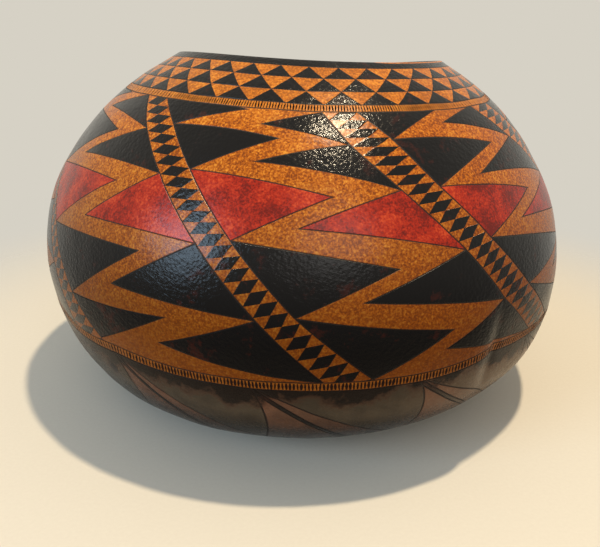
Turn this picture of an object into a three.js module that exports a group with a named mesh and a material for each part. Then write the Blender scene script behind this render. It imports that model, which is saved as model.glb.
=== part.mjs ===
// Gourd bowl: a large dried bottle gourd, cut open where the neck began.
//
// It has three solids: the hard rind that carries the outline, the thicker pith layer that the
// rind grew round, and the corky scar of the blossom in the hollow under the base.
//
// Millimetres, Z up. The bowl stands on Z = 0, with its plan centred on the origin and its
// front towards -Y. Angles go round from the front towards +X.

import * as THREE from 'three';

// Overall form
const BELLY_RADIUS = 194;
const BODY_HEIGHT = 252;
const MOUTH_RADIUS = 94;
const FOOT_RADIUS = 41;

// Wall layers, each measured square to the wall
const RIND_WALL = 3;
const PITH_AT_LIP = 4.5;
const PITH_AT_BASE = 8;
const LAYER_GAP = 0.3;
const LIP_CROWN = 1.4;

// Hollow under the base, and the blossom scar in it
const HOLLOW_RADIUS = 18;
const HOLLOW_DEPTH = 3;
const SCAR_RADIUS = 7;
const SCAR_THICKNESS = 1.6;
const SCAR_EDGE = 0.9;

// How this gourd grew out of true
const MOUTH_FORWARD = 10;
const OVAL = 0.022;
const OVAL_ANGLE = THREE.MathUtils.degToRad(51);
const THREE_SIDED = 0.007;
const DENT_DEPTH = 4.5;
const DENT_ANGLE = THREE.MathUtils.degToRad(40.5);
const DENT_LEFT = THREE.MathUtils.degToRad(4.5);
const DENT_RIGHT = THREE.MathUtils.degToRad(15);
const DENT_HEIGHT = 82;
const DENT_HALF_HEIGHT = 31;

// The cut lip: its slope, its wave, and the height from which the growth lines follow it
const LIP_SLOPE = 8.9;
const LIP_SLOPE_ANGLE = THREE.MathUtils.degToRad(-19);
const LIP_WAVE = 2.2;
const LIP_WAVE_ANGLE = THREE.MathUtils.degToRad(100);
const LIP_START = 60;

// Wall between the foot and the mouth: share of the belly's radius, share of the height,
// and how far that height's ring grew to the right
const WALL = [
  [0.436, 0.014, 0],
  [0.642, 0.048, 0],
  [0.807, 0.107, 1],
  [0.923, 0.198, 5.5],
  [0.985, 0.321, 5],
  [1.0, 0.468, 4],
  [0.961, 0.615, 4],
  [0.871, 0.746, 5],
  [0.75, 0.857, 7],
  [0.616, 0.94, 9.5],
];
const MOUTH_RIGHT = 12;

// Fineness of the facets
const AROUND = 60;
const WALL_ROWS = 22;
const TURN = 2 * Math.PI;

// The outline runs along the wall from the foot's edge to the lip. Each point holds the ring's
// radius, its height and its drift to the right, and a smooth curve joins them.
const outline = new THREE.CatmullRomCurve3();
const stations = [
  [FOOT_RADIUS, 0, 0],
  ...WALL.map(([out, up, right]) => [out * BELLY_RADIUS, up * BODY_HEIGHT, right]),
  [MOUTH_RADIUS, BODY_HEIGHT, MOUTH_RIGHT],
];
outline.points = stations.map((station) => new THREE.Vector3(...station));
outline.curveType = 'catmullrom';
outline.tension = 0.5;

// One ring of the plain body: s runs from 0 at the base's centre to 1 at the foot's edge, and
// on along the wall to 2 at the lip.
function ring(s) {
  if (s > 1) {
    const point = outline.getPoint(Math.min(s - 1, 1));
    return { radius: point.x, height: point.y, right: point.z };
  }
  const radius = s * FOOT_RADIUS;
  const inHollow = Math.min(radius / HOLLOW_RADIUS, 1);
  const height = (HOLLOW_DEPTH / 2) * (1 + Math.cos(Math.PI * inHollow));
  return { radius, height, right: 0 };
}

// The dent at the lower right: it falls in at a steep fold on its left, and runs out slowly to
// the right. The angle is first brought within half a turn of the fold.
function dentAt(height, angle) {
  const turned = (angle - DENT_ANGLE) / TURN;
  const aside = (turned - Math.round(turned)) * TURN;
  const across = aside / (aside < 0 ? DENT_LEFT : DENT_RIGHT);
  const above = (height - DENT_HEIGHT) / DENT_HALF_HEIGHT;
  return DENT_DEPTH * Math.exp(-across * across - above * above);
}

// Where the grown surface really is: the ring is made oval and a little three-sided, dented at
// the lower right, carried forward with height, and sloped near the top to follow the lip.
function surfacePoint(s, angle) {
  const { radius, height, right } = ring(s);
  const lobes = 1 + OVAL * Math.cos(2 * (angle - OVAL_ANGLE)) + THREE_SIDED * Math.cos(3 * angle);
  const out = radius * lobes - (s > 1 ? dentAt(height, angle) : 0);
  const nearLip = Math.max((height - LIP_START) / (BODY_HEIGHT - LIP_START), 0) ** 2;
  const slope = LIP_SLOPE * Math.cos(angle - LIP_SLOPE_ANGLE);
  const wave = LIP_WAVE * Math.cos(2 * (angle - LIP_WAVE_ANGLE));
  return new THREE.Vector3(
    right + out * Math.sin(angle),
    (-MOUTH_FORWARD * height) / BODY_HEIGHT - out * Math.cos(angle),
    height + (s > 1 ? nearLip * (slope + wave) : 0),
  );
}

// Directions on the surface: along the wall towards the lip, and square out of it.
function surfaceFrame(s, angle) {
  const step = 0.002;
  const low = surfacePoint(Math.max(s - step, 0), angle);
  const up = surfacePoint(Math.min(s + step, 2), angle).sub(low).normalize();
  const left = surfacePoint(s, angle - step);
  const round = surfacePoint(s, angle + step).sub(left).normalize();
  return { up, out: new THREE.Vector3().crossVectors(round, up).normalize() };
}

// A point inside the wall, at a depth below the surface. At the centre of the base the depth
// goes straight up.
function wallPoint(s, angle, depth) {
  if (s === 0) return surfacePoint(0, 0).add(new THREE.Vector3(0, 0, depth));
  const { out } = surfaceFrame(s, angle);
  return surfacePoint(s, angle).addScaledVector(out, -depth);
}

// The pith grew thicker towards the base.
function pithWall(s) {
  return PITH_AT_BASE + ((PITH_AT_LIP - PITH_AT_BASE) * s) / 2;
}

// A point on the cut lip, which is rounded across the full thickness of both layers.
function lipPoint(angle, depth) {
  const across = depth / (RIND_WALL + LAYER_GAP + PITH_AT_LIP);
  const crown = LIP_CROWN * 4 * across * (1 - across);
  const { up } = surfaceFrame(2, angle);
  return wallPoint(2, angle, depth).addScaledVector(up, crown);
}

// Rows from the centre of the base to the lip. The first few fit the scar and the hollow.
const SCAR_ROWS = [0, SCAR_RADIUS / 2 / FOOT_RADIUS, SCAR_RADIUS / FOOT_RADIUS];
const HOLLOW_ROWS = [(SCAR_RADIUS + HOLLOW_RADIUS) / 2 / FOOT_RADIUS, HOLLOW_RADIUS / FOOT_RADIUS];
const FOOT_ROWS = [(1 + HOLLOW_RADIUS / FOOT_RADIUS) / 2, 1];
const wallRows = Array.from({ length: WALL_ROWS }, (_, row) => 1 + (row + 1) / WALL_ROWS);
const ROWS = [...SCAR_ROWS, ...HOLLOW_ROWS, ...FOOT_ROWS, ...wallRows];

// Closes a solid from rows that run over its whole skin, pole to pole. Each row is a function
// from the angle to a point, and the first and last row are single points. The facets before
// and after the turning row are split along the same diagonal of the wall, so that two layers
// stay parallel where the wall is twisted.
function skin(rows, turningRow = rows.length) {
  const vertices = [];
  const faces = [];
  const middle = rows.slice(1, -1);
  const index = (row, step) => 1 + row * AROUND + (step % AROUND);
  vertices.push(...rows[0](0));
  for (const row of middle) {
    for (let step = 0; step < AROUND; step += 1) vertices.push(...row((step * TURN) / AROUND));
  }
  vertices.push(...rows[rows.length - 1](0));
  const lastPole = 1 + middle.length * AROUND;
  for (let step = 0; step < AROUND; step += 1) {
    faces.push(0, index(0, step + 1), index(0, step));
    for (let row = 0; row < middle.length - 1; row += 1) {
      const corners = [index(row, step), index(row, step + 1)];
      const beyond = [index(row + 1, step + 1), index(row + 1, step)];
      if (row < turningRow) faces.push(...corners, beyond[0], corners[0], ...beyond);
      else faces.push(...corners, beyond[1], corners[1], ...beyond);
    }
    faces.push(index(middle.length - 1, step), index(middle.length - 1, step + 1), lastPole);
  }
  const geometry = new THREE.BufferGeometry();
  geometry.setAttribute('position', new THREE.Float32BufferAttribute(vertices, 3));
  geometry.setIndex(faces);
  geometry.computeVertexNormals();
  return geometry;
}

// A bowl-shaped layer: out from the centre of the base, over the lip, and back inside.
function layer(outerDepth, innerDepth, lipDepths) {
  const below = ROWS.slice(0, -1);
  const outer = below.map((s) => (angle) => wallPoint(s, angle, outerDepth(s)));
  const lip = lipDepths.map((depth) => (angle) => lipPoint(angle, depth));
  const inner = below.map((s) => (angle) => wallPoint(s, angle, innerDepth(s)));
  return skin([...outer, ...lip, ...inner.reverse()], below.length);
}

function makeRind() {
  return layer(() => 0, () => RIND_WALL, [0, RIND_WALL / 2, RIND_WALL]);
}

function makePith() {
  const start = RIND_WALL + LAYER_GAP;
  const lip = [0, 1 / 3, 2 / 3, 1].map((share) => start + share * PITH_AT_LIP);
  return layer(() => start, (s) => start + pithWall(s), lip);
}

// The scar lies against the roof of the hollow and is thickest in the middle.
function makeScar() {
  const crown = (s) => {
    const fromMiddle = (s * FOOT_RADIUS) / SCAR_RADIUS;
    return SCAR_THICKNESS + (SCAR_EDGE - SCAR_THICKNESS) * fromMiddle ** 2;
  };
  const face = SCAR_ROWS.map((s) => (angle) => wallPoint(s, angle, -LAYER_GAP - crown(s)));
  const back = SCAR_ROWS.map((s) => (angle) => wallPoint(s, angle, -LAYER_GAP));
  return skin([...face, ...back.reverse()]);
}

const pieces = [
  ['gourd_rind', makeRind(), { color: 0xc47a2a, roughness: 0.32, metalness: 0 }],
  ['pith_lining', makePith(), { color: 0xb58a58, roughness: 0.75, metalness: 0 }],
  ['blossom_scar', makeScar(), { color: 0x4a3322, roughness: 0.85, metalness: 0 }],
];

// The plan is centred on the belly as it grew, and the foot stays on Z = 0.
pieces[0][1].computeBoundingBox();
const centre = pieces[0][1].boundingBox.getCenter(new THREE.Vector3());

const bowl = new THREE.Group();
bowl.name = 'gourd_bowl';
for (const [name, geometry, look] of pieces) {
  const mesh = new THREE.Mesh(geometry, new THREE.MeshStandardMaterial(look));
  mesh.name = name;
  mesh.position.set(-centre.x, -centre.y, 0);
  bowl.add(mesh);
}

export default bowl;
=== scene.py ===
# %% [markdown]
# # A gourd bowl, dressed
#
# The real thing is one dried bottle gourd, about 39 cm across, with its neck cut away. The rind
# outside is hard and glossy. It is dyed in black and red fields, and the tan that shows between
# them is the bare gourd. Inside lies the pith, scraped but still fibrous.
#
# This file loads the measured model, builds a finer skin over it from the same growth rules,
# draws the ornament on that skin, and lights it.

# %% Load the measured model
import math
from functools import reduce

import bpy
import numpy as np
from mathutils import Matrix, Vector, noise


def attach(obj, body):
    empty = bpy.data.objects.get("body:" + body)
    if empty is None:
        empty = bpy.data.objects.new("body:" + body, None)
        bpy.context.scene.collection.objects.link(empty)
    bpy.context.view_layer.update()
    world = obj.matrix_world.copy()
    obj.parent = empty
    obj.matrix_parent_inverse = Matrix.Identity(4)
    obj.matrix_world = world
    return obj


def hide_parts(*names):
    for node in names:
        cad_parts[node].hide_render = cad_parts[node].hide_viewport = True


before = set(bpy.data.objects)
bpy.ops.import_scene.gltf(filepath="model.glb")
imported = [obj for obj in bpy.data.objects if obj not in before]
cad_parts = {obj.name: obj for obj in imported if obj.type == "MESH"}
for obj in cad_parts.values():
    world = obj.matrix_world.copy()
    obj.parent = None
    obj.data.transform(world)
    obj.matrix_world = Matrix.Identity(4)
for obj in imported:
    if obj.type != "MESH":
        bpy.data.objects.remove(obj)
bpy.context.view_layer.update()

# %% [markdown]
# The camera comes first.
# It stands in front of the bowl, a little above the lip, and looks down at it. Its place is in
# metres, its lens and its sensor are in millimetres.

# %% Camera
CAMERA_PLACE = (0.0010, -0.5512, 0.2915)
CAMERA_DOWN = 20.67
LENS, SENSOR_WIDTH = 43.2, 36


def add_object(name, data):
    """Puts a mesh, a lamp or a camera into the scene."""
    made = bpy.data.objects.new(name, data)
    bpy.context.scene.collection.objects.link(made)
    return made


eye = bpy.data.cameras.new("eye")
eye.lens, eye.sensor_width = LENS, SENSOR_WIDTH
camera = add_object("camera", eye)
camera.location = CAMERA_PLACE
camera.rotation_euler = (math.radians(90 - CAMERA_DOWN), 0, 0)
bpy.context.scene.camera = camera
print("camera", CAMERA_DOWN, "degrees down, lens", LENS, "mm")

# %% [markdown]
# ## How the gourd grew
#
# The wall follows one smooth line from the foot to the lip. Each station on it has a radius, a
# height and a drift to the right, in millimetres, and a Catmull-Rom curve joins them. A table
# of points along the curve gives the distance down the wall from the lip, which is how the
# maker would have measured the rows of ornament.

# %% The line of the wall
MM = 0.001
BELLY_RADIUS = 194
BODY_HEIGHT = 252
MOUTH_RADIUS = 94
FOOT_RADIUS = 41
MOUTH_RIGHT = 12
WALL = [
    (0.436, 0.014, 0), (0.642, 0.048, 0), (0.807, 0.107, 1), (0.923, 0.198, 5.5),
    (0.985, 0.321, 5), (1.0, 0.468, 4), (0.961, 0.615, 4), (0.871, 0.746, 5),
    (0.75, 0.857, 7), (0.616, 0.94, 9.5),
]
LINE_POINTS = 4001


def smooth_line(values, place):
    """A Catmull-Rom curve through values, at places counted in stations."""
    first = np.clip(np.floor(place).astype(int), 0, len(values) - 2)
    share = place - first
    ends = np.concatenate([[2 * values[0] - values[1]], values, [2 * values[-1] - values[-2]]])
    before, start, end, after = (ends[first + step] for step in range(4))
    cubic = 3 * (start - end) + after - before
    square = 2 * before - 5 * start + 4 * end - after
    return start + share / 2 * (end - before + share * (square + share * cubic))


stations = np.array(
    [(FOOT_RADIUS, 0, 0)]
    + [(out * BELLY_RADIUS, up * BODY_HEIGHT, right) for out, up, right in WALL]
    + [(MOUTH_RADIUS, BODY_HEIGHT, MOUTH_RIGHT)],
    dtype=float,
)
places = np.linspace(0, len(stations) - 1, LINE_POINTS)
LINE = np.stack([smooth_line(stations[:, column], places) for column in range(3)])
RUN = np.concatenate([[0], np.cumsum(np.hypot(np.diff(LINE[0]), np.diff(LINE[1])))])
WALL_LENGTH = RUN[-1]
WHOLE_LENGTH = WALL_LENGTH + FOOT_RADIUS
print("wall length from foot to lip: %.1f mm" % WALL_LENGTH)

# %% [markdown]
# A gourd never grows true. This one is a little oval, its mouth leans forward, its lip slopes
# and waves, and it has a dent at the lower right where it lay against something as it grew.
# The measured model has its plan centred on the belly, so everything is shifted to match. One
# function holds all of that, so the rind, the pith and the marks on them always agree.

# %% The grown surface
HOLLOW_RADIUS, HOLLOW_DEPTH = 18, 3
MOUTH_FORWARD = 10
OVAL, OVAL_ANGLE = 0.022, math.radians(51)
THREE_SIDED = 0.007
DENT_DEPTH, DENT_ANGLE = 4.5, math.radians(40.5)
DENT_LEFT, DENT_RIGHT = math.radians(4.5), math.radians(15)
DENT_HEIGHT, DENT_HALF_HEIGHT = 82, 31
LIP_SLOPE, LIP_SLOPE_ANGLE = 8.9, math.radians(-19)
LIP_WAVE, LIP_WAVE_ANGLE = 2.2, math.radians(100)
LIP_START = 60
PLAN_SHIFT = (-4.02, 5.78)


def turn_between(angle, other):
    """The signed turn from one angle to another, within half a circle."""
    return (angle - other + np.pi) % (2 * np.pi) - np.pi


def ring_at(down):
    """Radius, height and drift of the plain ring at a distance down the wall from the lip."""
    on_wall = down <= WALL_LENGTH
    radius, height, right = (np.interp(WALL_LENGTH - down, RUN, line) for line in LINE)
    base_radius = np.clip(WHOLE_LENGTH - down, 0, FOOT_RADIUS)
    in_hollow = np.minimum(base_radius / HOLLOW_RADIUS, 1)
    roof = HOLLOW_DEPTH / 2 * (1 + np.cos(np.pi * in_hollow))
    radius = np.where(on_wall, radius, base_radius)
    return radius, np.where(on_wall, height, roof), np.where(on_wall, right, 0), on_wall


def grown(down, angle):
    """Points of the gourd's outer skin in millimetres."""
    radius, height, right, on_wall = ring_at(down)
    lobes = 1 + OVAL * np.cos(2 * (angle - OVAL_ANGLE)) + THREE_SIDED * np.cos(3 * angle)
    aside = turn_between(angle, DENT_ANGLE)
    across = aside / np.where(aside < 0, DENT_LEFT, DENT_RIGHT)
    above = (height - DENT_HEIGHT) / DENT_HALF_HEIGHT
    out = radius * lobes - on_wall * DENT_DEPTH * np.exp(-across**2 - above**2)
    near_lip = np.maximum((height - LIP_START) / (BODY_HEIGHT - LIP_START), 0) ** 2
    slope = LIP_SLOPE * np.cos(angle - LIP_SLOPE_ANGLE)
    wave = LIP_WAVE * np.cos(2 * (angle - LIP_WAVE_ANGLE))
    x = PLAN_SHIFT[0] + right + out * np.sin(angle)
    y = PLAN_SHIFT[1] - MOUTH_FORWARD * height / BODY_HEIGHT - out * np.cos(angle)
    return np.stack([x, y, height + on_wall * near_lip * (slope + wave)], axis=-1)


def directions(down, angle):
    """Unit vectors up the wall and square out of it."""
    step_down, step_round, least_length = 0.7, 0.003, 1e-9
    above = grown(np.maximum(down - step_down, 0), angle)
    below = grown(np.minimum(down + step_down, WHOLE_LENGTH), angle)
    along = grown(down, angle + step_round) - grown(down, angle - step_round)
    up = (above - below) / np.linalg.norm(above - below, axis=-1, keepdims=True)
    out = np.cross(along, up)
    return up, out / np.maximum(np.linalg.norm(out, axis=-1, keepdims=True), least_length)


print("the mouth leans", MOUTH_FORWARD, "mm forward and", MOUTH_RIGHT, "mm to the right")

# %% [markdown]
# Every piece needs two things: smooth bumps, and the points of a whole stack of rings with the
# direction that is outwards at each.

# %% Bumps and rings
def ripple(points, size, seed):
    """Smooth noise from -1 to 1 with waves of about the given size in millimetres."""
    offset = Vector((seed, 2 * seed, -seed))
    flat = points.reshape(-1, 3) / size
    values = [noise.noise(Vector(point) + offset) for point in flat.tolist()]
    return np.array(values).reshape(points.shape[:-1])


def ripples(points, waves):
    """A sum of ripples, each given as its height, its size and its seed."""
    return sum(height * ripple(points, size, seed) for height, size, seed in waves)


def wall_grid(downs, angles):
    """Distances down, angles, points and outward directions of rings at some distances."""
    down, angle = np.meshgrid(downs, angles, indexing="ij")
    return down, angle, grown(down, angle), directions(down, angle)[1]


LOW_RING = 250.0
low_ring = wall_grid([LOW_RING], np.radians([0, 90, 180, 270]))[2][0]
print("points", LOW_RING, "mm down the wall:", low_ring.round(1).tolist())

# %% [markdown]
# A closed shell is a stack of rings between two points: out from the middle of the base, up to
# the lip, over it and down again inside. The same function makes the rind, the pith and the
# scar. Each face also stores where it is on the gourd in a UV map, corner by corner, so the
# ornament closes at the back without a smear.

# %% Make a closed skin from rings
OUTSIDE = -50.0


def closed_skin(name, rings, ring_map, first, last, marks=None):
    """A closed mesh from rings of points in mm. The map holds one column more than the rings,
    and the marks hold three numbers for each corner of the first rows of faces."""
    rows, around = rings.shape[:2]
    points = np.concatenate([[first], rings.reshape(-1, 3), [last]]) * MM
    step = np.arange(around)
    beyond = (step + 1) % around
    start = 1 + np.arange(rows - 1)[:, None] * around
    quads = np.stack(
        [start + step, start + beyond, start + around + beyond, start + around + step], axis=-1
    ).reshape(-1, 4)
    opening = np.stack([0 * step, 1 + beyond, 1 + step], axis=-1)
    end = 1 + (rows - 1) * around
    closing = np.stack([end + step, end + beyond, 0 * step + len(points) - 1], axis=-1)
    mesh = bpy.data.meshes.new(name)
    mesh.from_pydata(points.tolist(), [], opening.tolist() + quads.tolist() + closing.tolist())
    near, far = ring_map[:, :-1], ring_map[:, 1:]
    opening_map = np.stack([(near[0] + far[0]) / 2, far[0], near[0]], axis=1)
    closing_map = np.stack([near[-1], far[-1], (near[-1] + far[-1]) / 2], axis=1)
    sides = np.stack([near[:-1], far[:-1], far[1:], near[1:]], axis=2)
    corners = np.concatenate([part.reshape(-1, 2) for part in (opening_map, sides, closing_map)])
    layer = mesh.uv_layers.new(name="ring")
    layer.data.foreach_set("uv", corners.astype(np.float32).ravel())
    for mark, values in (marks or {}).items():
        stored = np.full((len(corners), 3), OUTSIDE, dtype=np.float32)
        stored[3 * around : 3 * around + values.size // 3] = values.reshape(-1, 3)
        attribute = mesh.attributes.new(mark, "FLOAT_VECTOR", "CORNER")
        attribute.data.foreach_set("vector", stored.ravel())
    mesh.shade_smooth()
    print(name, "has", len(mesh.polygons), "faces")
    return add_object(name, mesh)


def plain_map(downs, around):
    """Turns round and millimetres down for plain rings."""
    ring_turns = np.linspace(-0.5, 0.5, around + 1)
    return np.stack(np.broadcast_arrays(ring_turns[None], downs[:, None]), axis=-1)


print("faces without ornament count as", -OUTSIDE, "mm outside every field")

# %% [markdown]
# ## Laying out the ornament
#
# Seven bands run down the wall at about 45 degrees, like stripes on a barber's pole. They cut the
# belly into seven panels of five rows, and each row has two triangles, one on each edge of the
# panel. An even layout comes first. It says where each corner would be if the maker had
# measured every one.

# %% Even layout of bands and rows
BANDS = 7
BAND_WIDTH = 25
BAND_SLOPE = 1.02
BAND_START_DOWN, BAND_START_ANGLE = 42.4, math.radians(-52.2)
ROW_LINES = np.array([44.5, 65, 92, 129, 167, 204])
ROWS = len(ROW_LINES) - 1
PITCH = 2 * math.pi / BANDS
LAYOUT_STEPS, LEAST_RADIUS = 900, 30
HALF_PANEL, BOW_SHARE, BOW_STEP = 0.42, 0.88, 2

steps_down = np.linspace(0, WHOLE_LENGTH, LAYOUT_STEPS)
turning = BAND_SLOPE / np.maximum(ring_at(steps_down)[0], LEAST_RADIUS)
turned = np.concatenate([[0], np.cumsum((turning[1:] + turning[:-1]) / 2 * np.diff(steps_down))])
turned -= np.interp(BAND_START_DOWN, steps_down, turned)


def band_edge(down):
    """Angle at which the first band's left edge lies, at a distance down the wall."""
    return BAND_START_ANGLE + np.interp(down, steps_down, turned)


def bow(down):
    """How far a straight edge across a panel rises in the middle: a taut string does the same."""
    radius = ring_at(down)[0]
    wider = (ring_at(down + BOW_STEP)[0] - ring_at(down - BOW_STEP)[0]) / (2 * BOW_STEP)
    return BOW_SHARE * (HALF_PANEL * PITCH) ** 2 / 2 * radius * wider


def even_corner(panel, row, over, share):
    """Distance down and angle of a corner at a share over its panel and a share down its row."""
    lower = ROW_LINES[min(row + 1, ROWS)]
    down = ROW_LINES[row] + share * (lower - ROW_LINES[row])
    down -= bow(down) * 4 * over * (1 - over)
    part = BAND_WIDTH / (ring_at(down)[0] * PITCH)
    return down, band_edge(down) + PITCH * (panel - 1 + part + over * (1 - part))


print("a straight edge bows by %.1f mm high up, %.1f mm low down" % (bow(60.0), bow(180.0)))

# %% [markdown]
# The maker worked by eye, so no two panels are alike. The corners of the panels that face the
# viewer are given here as the hand drew them, for each panel and row, in millimetres down the
# wall and degrees round it. The panels behind get the even corners with small seeded slips.

# %% Corners as the hand drew them
LEFT_EDGE = {
    0: {0: (44, -101), 1: (66, -91.5), 2: (107, -77), 3: (141, -63), 4: (178, -51),
        5: (201, -42)},
    1: {0: (42, -42.5), 1: (60, -33.5), 2: (86.5, -23.5), 3: (124, -12), 4: (164, -0.5),
        5: (203.5, 12.5)},
    2: {0: (45, 13), 1: (64, 20), 2: (95.5, 28), 3: (130, 37), 4: (166.5, 47.5)},
}
RIGHT_EDGE = {
    0: {0: (42.5, -52), 1: (65.5, -41.5), 2: (91.5, -30.5), 3: (127.5, -18.5), 4: (166.5, -7),
        5: (204, 4)},
    1: {0: (45, 4), 1: (67, 10), 2: (95.5, 19.5), 3: (133.5, 30.5), 4: (169, 39.5),
        5: (203.5, 51.5)},
    2: {0: (45, 51), 1: (74, 60.5), 2: (110, 74), 3: (145, 82)},
    6: {0: (45, -110), 1: (67, -99), 2: (97, -86), 3: (131, -70.5), 4: (168, -61.5),
        5: (204, -53)},
}
LEFT_TIPS = {
    0: {1: (70.5, -53), 2: (101, -42.5), 3: (137, -30.5), 4: (172, -24)},
    1: {0: (45, -15), 1: (63.5, -5.5), 2: (98, 6), 3: (139, 17), 4: (178.5, 27)},
    2: {0: (45, 35), 1: (73.5, 49), 2: (109.5, 55.5), 3: (154.5, 71.5), 4: (194, 73)},
}
RIGHT_TIPS = {
    0: {0: (57, -70), 1: (91.5, -62), 2: (126.5, -48.5), 3: (160, -36.5), 4: (189, -25.5)},
    1: {0: (54.5, -10), 1: (78.5, -9.5), 2: (115.5, 0), 3: (156, 11), 4: (190, 26)},
    2: {0: (54.5, 36), 1: (91.5, 40), 2: (124.5, 48.5), 3: (168, 61)},
}
LEFT_TIP, RIGHT_TIP = (0.65, 0.30), (0.37, 0.72)
SLIP_DOWN, SLIP_ROUND, SLIP_SEED = 1.6, math.radians(0.8), 11
hand = np.random.default_rng(SLIP_SEED)


def corners_of(drawn, over, share, count):
    """Every panel's corners of one kind: the drawn ones, and even ones with a slip."""
    table = np.zeros((BANDS, count, 2))
    for panel in range(BANDS):
        for row in range(count):
            slip = hand.normal(size=2) * (SLIP_DOWN, SLIP_ROUND)
            even = even_corner(panel, row, over, share)
            table[panel, row] = np.add(even, slip)
            if row in drawn.get(panel, {}):
                down, degrees = drawn[panel][row]
                table[panel, row] = down, even[1] + turn_between(math.radians(degrees), even[1])
    return table


left_edge = corners_of(LEFT_EDGE, 0.0, 0.0, ROWS + 1)
right_edge = corners_of(RIGHT_EDGE, 1.0, 0.0, ROWS + 1)
left_tips = corners_of(LEFT_TIPS, *LEFT_TIP, ROWS)
right_tips = corners_of(RIGHT_TIPS, *RIGHT_TIP, ROWS)
print("corners of panel 1:", left_tips[1].round(2).tolist())

# %% [markdown]
# A line that was drawn along a bent ruler lies in a plane that cuts the skin squarely. So each
# edge of each triangle becomes a plane through its two corners, and the distance to that plane
# says, in millimetres, how far inside the triangle a point of the skin is.

# %% Planes of the triangles' edges
def cutting_planes(starts, ends, inside):
    """Planes along straight edges, each as a normal and an offset, facing a point inside."""
    first, second = (grown(ends_of[..., 0], ends_of[..., 1]) for ends_of in (starts, ends))
    halfway = (starts + ends) / 2
    square = directions(halfway[..., 0], halfway[..., 1])[1]
    normal = np.cross(second - first, square)
    normal /= np.linalg.norm(normal, axis=-1, keepdims=True)
    offset = -(normal * first).sum(axis=-1, keepdims=True)
    planes = np.concatenate([normal, offset], axis=-1)
    within = grown(inside[..., 0], inside[..., 1])
    side = (normal * within).sum(axis=-1, keepdims=True) + offset
    return planes * np.sign(side)


def triangle_planes(edge, tips):
    """The planes of both long edges of the triangles that stand on one edge of the panels."""
    top, bottom = edge[:, :-1], edge[:, 1:]
    return np.stack([cutting_planes(top, tips, bottom), cutting_planes(bottom, tips, top)], axis=2)


left_planes = triangle_planes(left_edge, left_tips)
right_planes = triangle_planes(right_edge, right_tips)
print("planes:", left_planes[..., 0].size + right_planes[..., 0].size)

# %% [markdown]
# Every face of the skin now looks up its own band, its own panel and the two nearest triangles
# on either side of the panel, and stores the distances at its corners. Because each face keeps
# to its own planes, the outlines and the tips stay sharp however coarse the skin is. A mark
# holds three numbers: two distances, and for a triangle whether it is red.

# %% Distances for every face
RED_ROW = 2


def edge_angles(edge, down):
    """Angles of one kind of band edge at distances down the wall, for all panels."""
    slips = edge[..., 1] - band_edge(edge[..., 0])
    pulled = [np.interp(down, rows, slip) for rows, slip in zip(edge[..., 0], slips)]
    return band_edge(down) + np.stack(pulled)


def nearest_triangles(planes, points, centres, panels):
    """Distances at the corners of each face to its two nearest triangles, and the red flag."""
    own = planes[panels]
    at_centre = np.einsum("frep,fp->fre", own, centres).min(axis=-1)
    order = np.argsort(-at_centre, axis=1)
    marks = []
    for rank in (0, 1):
        row = order[:, rank]
        chosen = own[np.arange(len(row)), row]
        distances = np.einsum("fep,fcp->fce", chosen, points)
        flag = np.broadcast_to((row == RED_ROW)[:, None, None], (*distances.shape[:2], 1))
        marks.append(np.concatenate([distances, flag], axis=-1))
    return marks


def face_corners(grid):
    """The values at the four corners of each face, from a grid of rings."""
    return np.stack([grid[:-1, :-1], grid[:-1, 1:], grid[1:, 1:], grid[1:, :-1]], axis=2)


def ornament_marks(downs, angles, skin):
    """Distances to the bands and triangles for the faces between rings of the skin."""
    shape = (len(downs) - 1, len(angles) - 1)
    rows_down, columns = np.meshgrid(downs, angles, indexing="ij")
    down, angle = (face_corners(grid).reshape(-1, 4) for grid in (rows_down, columns))
    points = face_corners(skin).reshape(-1, 4, 3)
    points = np.concatenate([points, np.ones((*points.shape[:2], 1))], axis=-1)
    centres = points.mean(axis=1)

    band_left = np.roll(edge_angles(right_edge, downs), 1, axis=0)
    band_right = edge_angles(left_edge, downs)
    row_of = np.repeat(np.arange(shape[0]), shape[1])
    middle = band_left + turn_between(band_right, band_left) / 2
    off = turn_between(angle.mean(axis=1), (middle[:, row_of] + middle[:, row_of + 1]) / 2)
    band = np.abs(off).argmin(axis=0)
    beyond_band = off[band, np.arange(len(band))] > 0
    panel = np.where(beyond_band, band, (band - 1) % BANDS)

    corner_rows = np.stack([row_of, row_of, row_of + 1, row_of + 1], axis=1)
    slant = ring_at(down)[0] / math.hypot(1, BAND_SLOPE)
    from_left = turn_between(angle, band_left[band[:, None], corner_rows]) * slant
    from_right = -turn_between(angle, band_right[band[:, None], corner_rows]) * slant
    marks = {"band": np.stack([from_left, from_right, 0 * slant], axis=-1)}
    for side, planes in (("left", left_planes), ("right", right_planes)):
        pair = nearest_triangles(planes, points, centres, panel)
        marks[side + "_near"], marks[side + "_next"] = pair
    return marks


red_lines = tuple(ROW_LINES[RED_ROW : RED_ROW + 2])
print("the red row lies %g to %g mm down the wall" % red_lines)

# %% [markdown]
# The rows that go right round, at the lip and at both hatched borders, have a layout of their
# own: turns round, and millimetres down. It too wanders a little, as a line does that is drawn
# round a gourd by hand. The upper border leans down to the right. The lower one rises over the
# dent, and a little on the left.

# %% Layout of the rows that go round
UPPER_BORDER, LOWER_BORDER = (38.5, 44.0), (204.0, 210.0)
UPPER_LEAN, UPPER_LEAN_REACH = 1.9, 60
LOWER_RISES = [(3.6, math.radians(37), math.radians(8)), (1.6, math.radians(-37), math.radians(9))]
LOWER_SHIFT_START, LOWER_SHIFT_REACH = 130, 60
WANDER, WANDER_SIZE, WANDER_SEEDS = 0.45, 26, (3.0, 8.0)
WANDER_RADIUS = 40


def swell(angle, height, middle_angle, width):
    """A smooth shift of a line near one angle."""
    return height * np.exp(-((turn_between(angle, middle_angle) / width) ** 2))


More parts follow.
